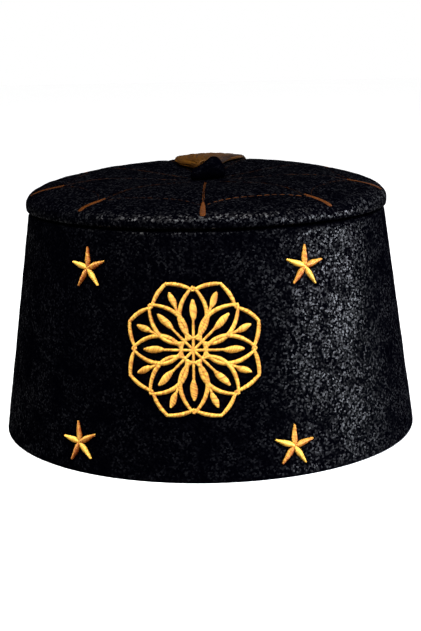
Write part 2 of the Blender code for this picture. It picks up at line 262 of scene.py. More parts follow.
velvet_wall = velvet("velvet_wall", 13.0 * MM, 0.55, 0.55)
velvet_top = velvet("velvet_top", 8.0 * MM, 0.7, 0.95)
velvet_stem = velvet("velvet_stem", 4.0 * MM, 0.1, 0.4)
print("velvets", velvet_wall.name, velvet_top.name, velvet_stem.name)

# %% [markdown]
# Backing cloth
#
# The inside of the cap is the plain back of the stiffened velvet: a tight black weave
# with no pile. Two waves crossed at right angles give a weave when each only shows where
# it passes over the other. Following the cloth round and up needs an angle and a height,
# so the weave reads them from the place on the cap.

# %% Make the backing cloth
BACKING_PITCH = 0.9 * MM
BACKING_RADIUS = 80.0 * MM  # where the pitch round the cap is true
BACKING_BUMP = 0.1 * MM


def make_backing():
    """The material, with a weave that goes round and up."""
    made, tree, inputs = new_material("backing_cloth", {"Roughness": 0.9})
    place = node(tree, "ShaderNodeTexCoord").outputs["Object"]
    parts = node(tree, "ShaderNodeSeparateXYZ", {"Vector": place}).outputs
    turn = math_node(tree, "ARCTAN2", parts["X"], parts["Y"])
    round_way = math_node(tree, "MULTIPLY", turn, math.tau * BACKING_RADIUS / BACKING_PITCH)
    up_way = math_node(tree, "MULTIPLY", parts["Z"], math.tau / BACKING_PITCH)
    warp = math_node(tree, "SINE", round_way)
    weft = math_node(tree, "SINE", up_way)
    weave = math_node(tree, "MULTIPLY", warp, weft)
    bump = node(tree, "ShaderNodeBump", {"Height": weave, "Distance": BACKING_BUMP}).outputs
    tone = ranged(tree, weave, -1.0, 1.0)
    colour = mixed(tree, tone, (0.004, 0.004, 0.005, 1.0), (0.016, 0.016, 0.018, 1.0))
    feed(tree, inputs, {"Base Color": colour, "Normal": bump["Normal"]})
    return made


backing_cloth = make_backing()
print("backing cloth pitch in mm", BACKING_PITCH / MM)

# %% [markdown]
# Spun gold
#
# All the gold is yarn: rayon in the embroidery, silk in the tassel, a browner cotton in
# the quilting of the top. Yarn is many fine fibres twisted together, so it shines in
# small streaks, and no two stitches have quite the same tone. The group takes a tone for
# each thread, which the meshes carry as an attribute called shade, and adds the fibres.
# In the stars, the roundel and the tassel that tone also holds painted highlights and
# painted shade.

# %% Make the spun gold group
FIBRES_LOW, FIBRES_HIGH = 0.3, 0.7  # the part of the noise that is used
FIBRE_TONE = 0.2  # how much paler or deeper a fibre is than its thread
SMOOTH_FIBRE, ROUGH_FIBRE = 0.28, 0.46


def make_spun_gold():
    """The group, from a thread's own tone and fine fibres in it."""
    inputs = {
        "Shade": (NUMBER, 0.5),
        "Fibre Size": (NUMBER, 0.12 * MM),
        "Deep": (COLOUR, (0.45, 0.16, 0.01, 1.0)),
        "Bright": (COLOUR, (0.85, 0.52, 0.10, 1.0)),
    }
    outputs = {"Colour": COLOUR, "Roughness": NUMBER, "Height": NUMBER}
    tree, given, out = group("spun_gold", inputs, outputs)
    place = node(tree, "ShaderNodeTexCoord").outputs["Object"]
    fibres = node(
        tree,
        "ShaderNodeTexNoise",
        {
            "Vector": place,
            "Scale": math_node(tree, "DIVIDE", 1.0, given["Fibre Size"]),
            "Detail": 2.0,
        },
    ).outputs["Fac"]
    spread = ranged(tree, fibres, FIBRES_LOW, FIBRES_HIGH, -FIBRE_TONE, FIBRE_TONE)
    tone = math_node(tree, "ADD", given["Shade"], spread)
    made = {
        "Colour": mixed(tree, tone, given["Deep"], given["Bright"]),
        "Roughness": ranged(tree, fibres, FIBRES_LOW, FIBRES_HIGH, SMOOTH_FIBRE, ROUGH_FIBRE),
        "Height": fibres,
    }
    feed(tree, out, made)
    return tree


spun_gold = make_spun_gold()
print("group", spun_gold.name, [item.name for item in spun_gold.interface.items_tree])

# %% Make the yarns
FIBRE_BUMP = 0.05 * MM


def yarn(name, deep, bright, fibre, metallic, specular):
    """A yarn material. Its threads' own tones come from the mesh."""
    made, tree, inputs = new_material(name, {"Metallic": metallic, "Specular IOR Level": specular})
    shade = node(tree, "ShaderNodeAttribute", attribute_name="shade").outputs["Fac"]
    tones = {"Deep": (*deep, 1.0), "Bright": (*bright, 1.0)}
    own = {"Shade": shade, "Fibre Size": fibre, **tones}
    spun = node(tree, "ShaderNodeGroup", own, node_tree=spun_gold).outputs
    bump = node(tree, "ShaderNodeBump", {"Height": spun["Height"], "Distance": FIBRE_BUMP}).outputs
    sources = {"Base Color": spun["Colour"], "Roughness": spun["Roughness"], "Normal": bump["Normal"]}
    feed(tree, inputs, sources)
    return made


gold_rayon = yarn("gold_rayon", (0.30, 0.055, 0.001), (0.86, 0.50, 0.07), 0.12 * MM, 0.3, 0.5)
tassel_silk = yarn("tassel_silk", (0.014, 0.0035, 0.0002), (0.135, 0.052, 0.004), 0.20 * MM, 0.5, 0.2)
brown_cotton = yarn("brown_cotton", (0.003, 0.001, 0.0003), (0.085, 0.024, 0.004), 0.15 * MM, 0.0, 0.04)
print("yarns", gold_rayon.name, tassel_silk.name, brown_cotton.name)

# %% [markdown]
# The faces of the cap
#
# Everything sits on one of two faces. The wall is a cone that leans in by some eight
# degrees. The top is a curve turned round the middle, and then tilted so that its back
# stands a little higher. Two functions give any place on them from an angle, a length
# and a distance out, and all the pieces are placed by these two. The rim, the seam and
# the widest place come from the frame.

# %% Describe the wall's face
SEAM_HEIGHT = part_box("wall")[1].z
NECK_RADIUS = 79.7 * MM
CLOTH = 3.0 * MM
HEM_ROUND = 1.0 * MM
HEM_SHARE = HEM_ROUND / SEAM_HEIGHT  # the wall is widest above the hem's rounding
RIM_RADIUS = (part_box("wall")[1].x - NECK_RADIUS * HEM_SHARE) / (1 - HEM_SHARE)
SLANT = math.atan2(RIM_RADIUS - NECK_RADIUS, SEAM_HEIGHT)


def on_wall(azimuth, height, across, up, out, level_out=0.0):
    """Points at distances across, up and out from a place on the wall. The azimuth is in radians.

    The last distance goes straight outwards, and so leaves the height as it is.
    """
    face_height = height + up * math.cos(SLANT)
    radius = RIM_RADIUS + (NECK_RADIUS - RIM_RADIUS) * face_height / SEAM_HEIGHT
    angle = azimuth + across / radius
    radius = radius + out * math.cos(SLANT) + level_out
    level = face_height + out * math.sin(SLANT)
    return np.stack(np.broadcast_arrays(radius * np.sin(angle), -radius * np.cos(angle), level), -1)


print("wall leans by", round(math.degrees(SLANT), 2), "degrees")

# %% Describe the top's face
def run_along(line):
    """How far along a line each of its points lies."""
    steps = np.linalg.norm(np.diff(line, axis=0), axis=1)
    return np.concatenate([[0.0], np.cumsum(steps)])


TIP_KNOTS = (
    # radius, height, heading in degrees, pull
    (NECK_RADIUS, SEAM_HEIGHT + 0.3 * MM, 78, 1.3 * MM),
    (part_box("tip")[1].x, 102.8 * MM, 92, 4.2 * MM),
    (68.3 * MM, 110.4 * MM, 169, 8.0 * MM),
    (43.0 * MM, 113.6 * MM, 180, 11.0 * MM),
    (0.0, 111.0 * MM, 180, 13.0 * MM),
)
BACK_RISE = 3.0 * MM
ROLL_HEIGHT = 12.0 * MM
LEVEL_RADIUS = 60.0 * MM
LINE_STEPS = 60  # points between two knots


def top_line():
    """Run, radius and height along the top's curve, from its middle out to the seam."""
    points = []
    for start, end in zip(TIP_KNOTS[::-1], TIP_KNOTS[-2::-1]):
        corners = [Vector((*start[:2], 0.0))]
        for (radius, height, heading, pull), side in ((start, -1), (end, 1)):
            way = math.radians(heading)
            shift = Vector((math.cos(way), math.sin(way), 0.0)) * pull * side
            corners.append(Vector((radius, height, 0.0)) + shift)
        corners.append(Vector((*end[:2], 0.0)))
        points += interpolate_bezier(*corners, LINE_STEPS)[bool(points) :]
    line = np.array([(point.x, point.y) for point in points])
    return run_along(line), *line.T


TOP_RUN, TOP_RADIUS, TOP_HEIGHT = top_line()
TOP_SLOPE = np.gradient(TOP_HEIGHT, TOP_RUN)
TOP_SPREAD = np.gradient(TOP_RADIUS, TOP_RUN)


def on_top(azimuth, run, out):
    """Points on the top, from an angle in radians, a run from the middle and a distance out."""
    radius, level, slope, spread = (
        np.interp(run, TOP_RUN, values)
        for values in (TOP_RADIUS, TOP_HEIGHT, TOP_SLOPE, TOP_SPREAD)
    )
    grown = np.clip((level - TIP_KNOTS[0][1]) / ROLL_HEIGHT, 0.0, 1.0)
    rise = BACK_RISE * grown * np.minimum(radius / LEVEL_RADIUS, 1.0)
    size = np.hypot(slope, spread)
    radius = radius - out * slope / size
    level = level - rise * np.cos(azimuth) + out * spread / size
    return np.stack(np.broadcast_arrays(radius * np.sin(azimuth), -radius * np.cos(azimuth), level), -1)


print("run from the middle to the seam in mm", round(TOP_RUN[-1] / MM, 1))

# %% [markdown]
# Meshes from rings
#
# Both shells are rings of points joined to each other. Round the rim a ring needs many
# points, but near the middle of the top as many would crowd into slivers. So a ring may
# have half as many points as the one outside it, and the strip between them is made of
# triangles instead of squares.

# %% Join rings into a mesh
def strip(ring, other):
    """Faces between two rings of point numbers. The smaller has the same count, half or one.

    Two rings of one point each, such as the middles of the top's two sides, get none.
    """
    if len(other) > len(ring):
        return [face[::-1] for face in strip(other, ring)]
    if len(ring) == 1:
        return []
    count = len(other)
    faces = []
    for step in range(len(ring)):
        here, after = ring[step], ring[(step + 1) % len(ring)]
        if count == 1:
            faces.append((here, after, other[0]))
        elif count == len(ring):
            faces.append((here, after, other[(step + 1) % count], other[step]))
        elif step % 2 == 0:
            faces.append((here, after, other[step // 2]))
        else:
            near, far = other[step // 2], other[(step // 2 + 1) % count]
            faces.append((here, after, far))
            faces.append((here, far, near))
    return faces


print("a ring of 4 inside one of 8 takes", len(strip(range(8), range(8, 12))), "triangles")

# %% Finish a mesh
def finished(name, points, faces, materials, node_name):
    """A smooth mesh object that rides on the cap, and may take the place of a solid."""
    mesh = bpy.data.meshes.new(name)
    mesh.from_pydata([tuple(point) for point in points], [], faces)
    for material in materials:
        mesh.materials.append(material)
    mesh.shade_smooth()
    made = bpy.data.objects.new(name, mesh)
    bpy.context.collection.objects.link(made)
    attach(made, "root")
    if node_name:
        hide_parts(node_name)
    print(name, "has", sum(len(face) - 2 for face in faces), "triangles")
    return made


def face_outwards(piece):
    """Turns all the faces of a closed mesh outwards."""
    shape = bmesh.new()
    shape.from_mesh(piece.data)
    bmesh.ops.recalc_face_normals(shape, faces=shape.faces)
    shape.to_mesh(piece.data)
    shape.free()


def ringed(name, rings, backing_from, material, node_name):
    """A velvet shell made of rings of points. From one ring on its faces are backing cloth."""
    numbers, start = [], 0
    for ring in rings:
        numbers.append(range(start, start + len(ring)))
        start += len(ring)
    faces, cloths = [], []
    for index, (ring, other) in enumerate(zip(numbers, numbers[1:] + numbers[:1])):
        faces += strip(ring, other)
        cloths += [int(backing_from <= index)] * (len(faces) - len(cloths))
    finishes = [material, backing_cloth]
    made = finished(name, np.concatenate(rings), faces, finishes, node_name)
    made.data.polygons.foreach_set("material_index", cloths)
    face_outwards(made)
    return made


# %% [markdown]
# Relief of the pile
#
# Crushing leaves shallow hollows in the pile itself, a tenth of a millimetre deep or so.
# A bump would fake them, but the mesh is also used without its material, so they are real
# here: each point of a velvet face moves in or out by a noise of its own place. The same
# noise is used everywhere, with two sizes laid over each other.

# %% Raise and crush the pile
FINE_SHARE = 0.5  # of the depth that the coarse noise gives


def pile_relief(points, coarse, fine, depth):
    """How far each point moves out, from two noises of these sizes."""
    shifts = []
    for point in points:
        place = Vector(point)
        broad = noise.noise(place / coarse)
        small = noise.noise(place / fine)
        shifts.append(depth * (broad + FINE_SHARE * small))
    return np.array(shifts)


WALL_RELIEF = (8.0 * MM, 2.8 * MM, 0.16 * MM)
TOP_RELIEF = (7.0 * MM, 2.6 * MM, 0.18 * MM)
EDGE_CALM = 4.0 * MM  # the relief fades out over this much beside a hem or a seam
face = on_wall(np.linspace(0.0, 1.0, 200), SEAM_HEIGHT / 2, 0.0, 0.0, 0.0)
print("relief along a line on the wall in mm", round(np.ptp(pile_relief(face, *WALL_RELIEF)) / MM, 2))

# %% [markdown]
# The wall
#
# The wall is a band of stiffened velvet, bent round and turned under at the hem. It could
# be a cone with a Solidify modifier, but the hem has to be round and the upper edge has
# to roll into the seam, so its whole section is drawn and turned: up the outside, over
# the seam, down the inside and round the hem. The rings inside have half as many points.

# %% Build the wall
WALL_SIDES = 480
WALL_STEP = 1.15 * MM
SEAM_ROLL = 1.4 * MM  # the last stretch under the seam, which rolls inwards
ROLL_ANGLES = (30, 60, 90)  # degrees
HEM_ANGLES = (90.0, 67.5, 45.0, 22.5)  # degrees
INNER_RINGS = 18


def wall_rings():
    """Rings up the face, over the roll under the seam and down the inside, and where the inside starts."""
    turn = np.arange(WALL_SIDES) * math.tau / WALL_SIDES
    few = turn[::2]
    face_start = HEM_ROUND
    face_end = SEAM_HEIGHT - SEAM_ROLL
    hem = [math.radians(angle) for angle in HEM_ANGLES]
    rings = []
    for angle in hem:
        inward = HEM_ROUND * (math.cos(angle) - 1)
        rings.append(on_wall(turn, HEM_ROUND * (1 - math.sin(angle)), 0.0, 0.0, 0.0, inward))
    for height in np.linspace(face_start, face_end, round((face_end - face_start) / WALL_STEP)):
        face = on_wall(turn, height, 0.0, 0.0, 0.0)
        calm = max(0.0, min(1.0, (height - face_start) / EDGE_CALM, (face_end - height) / EDGE_CALM))
        relief = pile_relief(face, *WALL_RELIEF) * calm
        rings.append(on_wall(turn, height, 0.0, 0.0, relief))
    for angle in ROLL_ANGLES:
        lean = math.radians(angle)
        inward = SEAM_ROLL * (math.cos(lean) - 1)
        rings.append(on_wall(turn, face_end + SEAM_ROLL * math.sin(lean), 0.0, 0.0, 0.0, inward))
    inside = len(rings)
    for height in np.linspace(SEAM_HEIGHT, HEM_ROUND, INNER_RINGS):
        rings.append(on_wall(few, height, 0.0, 0.0, 0.0, -CLOTH))
    for angle in hem[::-1]:
        inward = HEM_ROUND * (1 - math.cos(angle)) - CLOTH
        rings.append(on_wall(few, HEM_ROUND * (1 - math.sin(angle)), 0.0, 0.0, 0.0, inward))
    return rings, inside


wall = ringed("velvet_band", *wall_rings(), velvet_wall, "wall")

# %% [markdown]
# Pressed pile and painted shade
#
# Embroidery pulls the pile down for a millimetre or two beside its stitches, and there
# fewer tufts glint and the cloth is a little darker. This darkening also stands in for the
# shade of the raised stitches, so it is partly pressed pile and partly painted shade. The
# ground of the roundel is darkened the same way. The places of the embroidery are
# therefore set down here, and each point of the wall gets a value for how far its pile is
# pressed and shaded, from its distance to them.

# %% Press and shade the pile beside the embroidery
STARS = (
    # name, azimuth and turn in degrees, height, reach
    ("upper_left", -31.9, 5.0, 82.8 * MM, 8.7 * MM),
    ("upper_right", 32.2, -5.0, 83.0 * MM, 8.7 * MM),
    ("lower_left", -31.4, 10.0, 12.5 * MM, 8.8 * MM),
    ("lower_right", 25.3, -4.5, 12.5 * MM, 8.7 * MM),
)
ROUNDEL_HEIGHT = 52.7 * MM
ROUNDEL_REACH = 28.5 * MM
ARMS = 5
STAR_CORE = 1.3 * MM  # half an arm's width at the star's middle
PRESSED_AND_SHADED_BESIDE = 1.9 * MM
GROUND_DARKENING = 0.75
GROUND_FADE = 3.0 * MM  # past the roundel's reach


def arm_way(arm, turn):
    """The way that an arm of a star points, across and up."""
    angle = math.radians(90 + turn + 360 / ARMS * arm)
    return np.array((math.cos(angle), math.sin(angle)))


def press_and_shade_pile(piece):
    """Stores in each point of the wall how far its pile is pressed down and in painted shade, 0 to 1."""
    points = np.array([vertex.co for vertex in piece.data.vertices])
    azimuth = np.arctan2(points[:, 0], -points[:, 1])
    away = np.full(len(points), 1.0)
    for _, centre, turn, height, reach in STARS:
        across = (azimuth - math.radians(centre)) * np.hypot(points[:, 0], points[:, 1])
        place = np.stack([across, (points[:, 2] - height) / math.cos(SLANT)], -1)
        for arm in range(ARMS):
            way = arm_way(arm, turn)
            along = np.clip(place @ way, 0.0, reach)
            thin = STAR_CORE * (1 - along / reach)
            away = np.minimum(away, np.linalg.norm(place - along[:, None] * way, axis=1) - thin)
    pressed_and_shaded = np.exp(-((np.maximum(away, 0.0) / PRESSED_AND_SHADED_BESIDE) ** 2))
    reach = np.hypot(azimuth * np.hypot(points[:, 0], points[:, 1]), points[:, 2] - ROUNDEL_HEIGHT)
    ground = np.clip((ROUNDEL_REACH + GROUND_FADE - reach) / GROUND_FADE, 0.0, 1.0) * GROUND_DARKENING
    made = piece.data.attributes.new("pressed_and_shaded", "FLOAT", "POINT")
    made.data.foreach_set("value", np.maximum(pressed_and_shaded, ground).astype(np.float32))


press_and_shade_pile(wall)
print("pressed beside", len(STARS), "stars and under the roundel")

# %% [markdown]
# Where the top is quilted
#
# Nine lines of stitching run out from the stem like spokes, and between them a line of
# small stitches swings from spoke to spoke, nearest to the middle halfway along. The
# stitches pull the velvet down, so the same two rules serve twice: they sink shallow
# valleys into the top's mesh, and later they guide the yarn that lies in the valleys.

# %% Describe the quilting
SPOKES = np.radians((-157, -117, -77, -37, 3, 44, 84, 123, 163))  # a little uneven
SCALLOP_MIDDLE = 58.5 * MM
SCALLOP_REACH = 10.0 * MM  # how much further out the line is at a spoke
SCALLOP_POWER = 3.3
SPOKE_START, SPOKE_END = 9.0 * MM, 80.0 * MM
VALLEY_DEPTH, VALLEY_WIDTH = 0.5 * MM, 1.6 * MM


def between_spokes(azimuth):
    """The share of the way from halfway between two spokes (0) to the nearest spoke (1)."""
    lines = np.concatenate([SPOKES[-1:] - math.tau, SPOKES, SPOKES[:1] + math.tau])
    before = np.clip(np.searchsorted(lines, azimuth) - 1, 0, len(lines) - 2)
    middle = (lines[before] + lines[before + 1]) / 2
    return np.abs(azimuth - middle) * 2 / (lines[before + 1] - lines[before])


def scallop_run(azimuth):
    """The run from the top's middle to the swinging line of stitches."""
    return SCALLOP_MIDDLE + SCALLOP_REACH * between_spokes(azimuth) ** SCALLOP_POWER


def valley(azimuth, run):
    """How deep the stitching pulls the velvet down at a place on the top."""
    apart = np.abs((azimuth[:, None] - SPOKES + math.pi) % math.tau - math.pi).min(1)
    spoke = apart * run if SPOKE_START < run < SPOKE_END else np.full(len(azimuth), 1.0)
    near = np.minimum(spoke, np.abs(run - scallop_run(azimuth)))
    return VALLEY_DEPTH * np.exp(-((near / VALLEY_WIDTH) ** 2))


print("scallops at the spokes and halfway in mm", (SCALLOP_MIDDLE + SCALLOP_REACH) / MM, SCALLOP_MIDDLE / MM)

# %% [markdown]
# The top
#
# The top is a round of the same velvet over its stiffening, set on the wall with a fat
# rounded edge. A lathed curve would do for it if it were level and smooth. But its back
# stands higher, its pile is crushed and the quilting sinks into it, so each ring of its
# mesh is laid on the top's face and then moved by the relief and the valleys. Towards the
# middle the rings halve their points again and again, so that no triangle is a sliver.

# %% Build the top
TOP_STEP = 1.15 * MM
FEWEST_POINTS = 30  # in a ring
MIDDLE_CALM = 8.0 * MM  # the relief fades in over this run from the middle
INNER_RUNS = (
    # points in a ring, and the runs of such rings in mm
    (30, (4.0, 9.0)),
    (60, (14.0, 20.0)),
    (120, (28.0, 38.0, 48.0, 58.0, 66.0)),
)
OUTER_RUN, OUTER_RINGS = 71.0 * MM, 9  # the rings inside the rolled edge


def ring_count(radius):
    """How many points a ring of this radius has, so that they lie about as close as at the rim."""
    count = WALL_SIDES
    while count > FEWEST_POINTS and radius < count / WALL_SIDES * RIM_RADIUS / 2:
        count //= 2
    return count


def top_rings():
    """Rings over the seam's roll, in to the middle and back out inside, and where the inside starts."""
    edge = TOP_RUN[-1]
    rings = []
    turn = np.arange(WALL_SIDES) * math.tau / WALL_SIDES
    for angle in ROLL_ANGLES[::-1]:
        lean = math.radians(angle)
        run = edge - SEAM_ROLL * (1 - math.sin(lean))
        rings.append(on_top(turn, run, SEAM_ROLL * (math.cos(lean) - 1)))
    for run in np.linspace(edge - SEAM_ROLL, TOP_STEP, round(edge / TOP_STEP)):
        turn = np.arange(ring_count(np.interp(run, TOP_RUN, TOP_RADIUS)))
        turn = turn * math.tau / len(turn)
        centred = (turn + math.pi) % math.tau - math.pi
        face = on_top(turn, run, 0.0)
        calm = min(1.0, (edge - SEAM_ROLL - run) / EDGE_CALM, run / MIDDLE_CALM)
        relief = pile_relief(face, *TOP_RELIEF) * calm - valley(centred, run)
        rings.append(on_top(turn, run, relief))
    rings.append(on_top(np.zeros(1), 0.0, 0.0))
    inside = len(rings) - 1
    rings.append(on_top(np.zeros(1), 0.0, -CLOTH))
    for count, runs in INNER_RUNS:
        turn = np.arange(count) * math.tau / count
        rings += [on_top(turn, run * MM, -CLOTH) for run in runs]
    turn = np.arange(WALL_SIDES // 2) * math.tau / (WALL_SIDES // 2)
    rings += [on_top(turn, run, -CLOTH) for run in np.linspace(OUTER_RUN, edge, OUTER_RINGS)]
    return rings, inside


ringed("velvet_top", *top_rings(), velvet_top, "tip")

# %% [markdown]
# The stem
#
# In the middle of the top stands a short rolled loop of the same velvet, pressed together
# and taller on its right. A few upright oval sections give its form, and a smooth curve
# through them gives as many more as its folds need. Rolled velvet creases along the roll,
# so a noise that is stretched from left to right presses the folds in. The underside
# reaches down into the top, which hides the seam.

# %% Build the stem
STEM_ROWS = (
    # across, back, middle height, half height, half depth, all in mm
    (-6.3, -4.0, 113.4, 0.9, 1.5),
    (-5.5, -3.9, 113.8, 1.9, 2.6),
    (-3.4, -3.6, 114.3, 2.7, 3.2),
    (-0.8, -2.0, 115.2, 3.5, 3.4),
    (3.4, 0.0, 116.5, 4.5, 4.2),
    (6.3, 1.0, 116.0, 3.9, 3.9),
    (8.1, 1.2, 114.9, 2.3, 2.6),
    (8.7, 1.2, 114.5, 0.9, 1.2),
)
STEM_SIDES, STEM_STATIONS = 48, 64
STEM_REACH = 0.9 * MM  # how much further down the underside goes
CREASE_DEPTH = 0.45 * MM
CREASE_ALONG, CREASE_ACROSS = 7.0 * MM, 2.6 * MM
FINE_CREASE, FINE_CREASE_SHARE = 1.2 * MM, 0.3


def blended(rows, count):
    """This many rows, evenly spread on a smooth curve through the given ones."""
    rows = np.array(rows)
    padded = np.concatenate([2 * rows[:1] - rows[1:2], rows, 2 * rows[-1:] - rows[-2:-1]])
    place = np.linspace(0, len(rows) - 1, count)
    first = np.minimum(place.astype(int), len(rows) - 2)
    t = (place - first)[:, None]
    before, start, end, after = (padded[first + step] for step in range(4))
    slope_in, slope_out = (end - before) / 2, (after - start) / 2
    ease = 3 * t**2 - 2 * t**3
    return start * (1 - ease) + end * ease + slope_in * (t - 2 * t**2 + t**3) + slope_out * (t**3 - t**2)


def build_stem():
    """A loft through the smooth sections, with the folds pressed into it."""
    points = []
    for across, back, middle, half_height, half_depth in blended(STEM_ROWS, STEM_STATIONS) * MM:
        for side in range(STEM_SIDES):
            angle = math.tau * side / STEM_SIDES
            spoke = Vector((0.0, half_depth * math.cos(angle), half_height * math.sin(angle)))
            place = Vector((across, back, middle)) + spoke
            along, deep, high = place.x / CREASE_ALONG, place.y / CREASE_ACROSS, place.z / CREASE_ACROSS
            fold = noise.noise(Vector((along, deep, high)))
            fold += FINE_CREASE_SHARE * noise.noise(place / FINE_CREASE)
            place += spoke.normalized() * CREASE_DEPTH * fold
            place.z -= STEM_REACH * max(0.0, -math.sin(angle))
            points.append(place)
    numbers = [range(step * STEM_SIDES, (step + 1) * STEM_SIDES) for step in range(STEM_STATIONS)]
    faces = [face for ring, other in zip(numbers, numbers[1:]) for face in strip(ring, other)]
    faces += [tuple(numbers[0]), tuple(numbers[-1])]
    face_outwards(finished("velvet_stem", points, faces, [velvet_stem], "stem"))


build_stem()

# %% [markdown]
# Thread by thread
#
# All the gold is made of threads, so one function makes them all. A thread is a line of
# points with a width at each, and the direction that is up for it. Blender's curve bevel
# could draw one, but thousands of curve objects are slow, so the tubes are worked out
# together as arrays and end up as one mesh. Each thread also stores its own shade, which
# the spun gold group reads.

# %% Turn lines into threads
FULL_SIDES, FINE_SIDES = 6, 5  # of a thread's tube


def unit(vectors):
    """The same directions with a length of 1."""
    return vectors / np.linalg.norm(vectors, axis=-1, keepdims=True)


def threads(name, lines, ups, radii, shades, sides, material, slot, node_name=None):
    """One mesh of tubes with this many sides. The arrays are indexed by thread and point."""
    count, steps = lines.shape[:2]
    ways = unit(np.gradient(lines, axis=1))
    across = unit(np.cross(ways, ups))
    above = np.cross(across, ways)
    angle = (np.arange(sides) * math.tau / sides)[:, None]
    ring = across[:, :, None] * np.cos(angle) + above[:, :, None] * np.sin(angle)
    points = lines[:, :, None] + ring * radii[:, :, None, None]
    corner = np.arange(count * steps * sides).reshape(count, steps, sides)
    near, far = corner[:, :-1], corner[:, 1:]
    skin = np.stack([near, far, np.roll(far, -1, 2), np.roll(near, -1, 2)], -1).reshape(-1, 4)
    ends = np.concatenate([corner[:, 0], corner[:, -1, ::-1]])
    faces = skin.tolist() + ends.tolist()
    made = finished(name, points.reshape(-1, 3), faces, [material], node_name)
    shade = made.data.attributes.new("shade", "FLOAT", "POINT")
    shade.data.foreach_set("value", np.repeat(shades, sides).astype(np.float32))
    return made


def stitches(locate, first, last, crest, dip, steps):
    """Lines and ups of stitches that arch from their first ends to their last ends.

    The ends are places in a plane, which locate lays on the cap at a distance out. A
    stitch rises to its crest in the middle and dips under the velvet at its ends.
    """
    share = (1 - np.cos(np.linspace(0, math.pi, steps))) / 2
    places = first[:, None] + (last - first)[:, None] * share[:, None]
    arch = np.sqrt(np.clip(1 - (2 * share - 1) ** 2, 0, None))
    out = (np.broadcast_to(crest, len(first))[:, None] + dip) * arch - dip
    lines = locate(places[..., 0], places[..., 1], out)
    ups = locate(places[..., 0], places[..., 1], out + MM) - lines
    return lines, unit(ups)


def thinned(count, steps, radius, end_share):
    """Radii that are thinner at both ends of each thread."""
    share = np.linspace(-1, 1, steps)
    return np.tile(radius * (1 - (1 - end_share) * share**6), (count, 1))


print("a thread of 1 mm thins to", thinned(1, 5, 1.0, 0.6)[0].round(2), "mm")

# %% [markdown]
# The stars
#
# Each star is five padded arms in satin stitch: short threads lie side by side across an
# arm, over padding that makes it swell. Rayon shines where a thread lies square to the
# light and goes deep orange where it dives, so every arm has a pale flank and a deep
# one. Blender's shading alone shows little of that on threads this thin, so the sheen is
# painted into the colour: each arm gets a painted sheen of its own, and each point of a
# stitch a painted highlight, paler on the flank that faces up and left, towards the lamp.
# An arm is a slim leaf, widest a third of the way out, and the stitches' ends are never
# quite even.

# %% Embroider the stars
ARM_SHARES = (0.0, 0.16, 0.34, 0.52, 0.72, 0.9, 1.0)  # of the reach
ARM_HALVES = np.array((0.40, 0.92, 1.24, 1.06, 0.72, 0.42, 0.22)) * MM
ARM_PAINTED_SHEEN = (0.35, 0.95, 0.20, 0.90, 0.30)  # painted sheen: each arm's stitches lie their own way to the light and shine so
FLANK_PAINTED_HIGHLIGHT = 0.5  # how much a flank's painted highlight differs from its arm's
# the way up and to the left, towards the lamp, where a flank gets its painted highlight
PAINTED_LIGHT_WAY = np.array((-0.7, 0.7))
ARM_CREST = 1.0 * MM
STITCH_PITCH = 0.36 * MM
STITCH_RADIUS = 0.21 * MM
STITCH_LEAN = 0.35  # how far a stitch's left end is ahead of its right, over its length
STITCH_DIP = 0.35 * MM
ARM_STITCH_POINTS = 9
ARM_STEP_UP = 0.04 * MM  # each arm lies this much over the one before it
ARM_SPREAD = 0.22  # how much the stitches of an arm differ in shade
RAGGED_EDGE = 0.07 * MM


def painted_flank_shades(first, last, shades, steps):
    """The shade at each point of each stitch, with a painted highlight towards the end that lies up and
    left, towards the lamp.
    """
    turned = unit(first - last) @ PAINTED_LIGHT_WAY
    return shades[:, None] + FLANK_PAINTED_HIGHLIGHT * turned[:, None] * np.linspace(1, -1, steps)


def star_threads(turn, reach, chance):
    """First and last ends, crests and shades of the stitches of a star, in the wall's plane."""
    firsts, lasts, crests, shades = [], [], [], []
    for arm in range(ARMS):
        along = arm_way(arm, turn)
        side = np.array((-along[1], along[0]))
        runs = np.arange(0.2 * MM, reach, STITCH_PITCH)
        half = np.interp(runs / reach, ARM_SHARES, ARM_HALVES)
        for reach_out, ends in ((1, firsts), (-1, lasts)):
            wide = half + chance.uniform(-1, 1, len(runs)) * RAGGED_EDGE
            ahead = runs + reach_out * wide * STITCH_LEAN
            ends.append(ahead[:, None] * along + reach_out * wide[:, None] * side)
        crests.append(ARM_CREST * np.sqrt(half / ARM_HALVES.max()) + ARM_STEP_UP * arm)
        shades.append(ARM_PAINTED_SHEEN[arm] + chance.uniform(-ARM_SPREAD, ARM_SPREAD, len(runs)))
    return [np.concatenate(values) for values in (firsts, lasts, crests, shades)]


def wall_place(azimuth, height):
    """Lays x across and y up round a place on the wall."""
    return lambda x, y, out: on_wall(azimuth, height, x, y, out)


FIRST_SEED = 20
for index, (name, azimuth, turn, height, reach) in enumerate(STARS):
    chance = np.random.default_rng(FIRST_SEED + index)
    first, last, crest, shades = star_threads(turn, reach, chance)
    lay = wall_place(math.radians(azimuth), height)
    lines, ups = stitches(lay, first, last, crest, STITCH_DIP, ARM_STITCH_POINTS)
    radii = thinned(len(lines), ARM_STITCH_POINTS, STITCH_RADIUS, 0.6)
    shades = painted_flank_shades(first, last, shades, ARM_STITCH_POINTS)
    looks = FULL_SIDES, gold_rayon, "gold_thread"
    threads(f"stitched_star_{name}", lines, ups, radii, shades, *looks, f"star_{name}")

# %% [markdown]
# The roundel
#
# The roundel is drawn with eight like sectors of curved strokes: petals that cross their
# neighbours, arches between their points, leaves and buds. A machine embroiders such a
# stroke with one row of slanting stitches as wide as the stroke. Walking along each
# curve in equal steps and laying a stitch across at every step gives the same corded
# edge. A place is a radius and an angle from the sector's own axis.

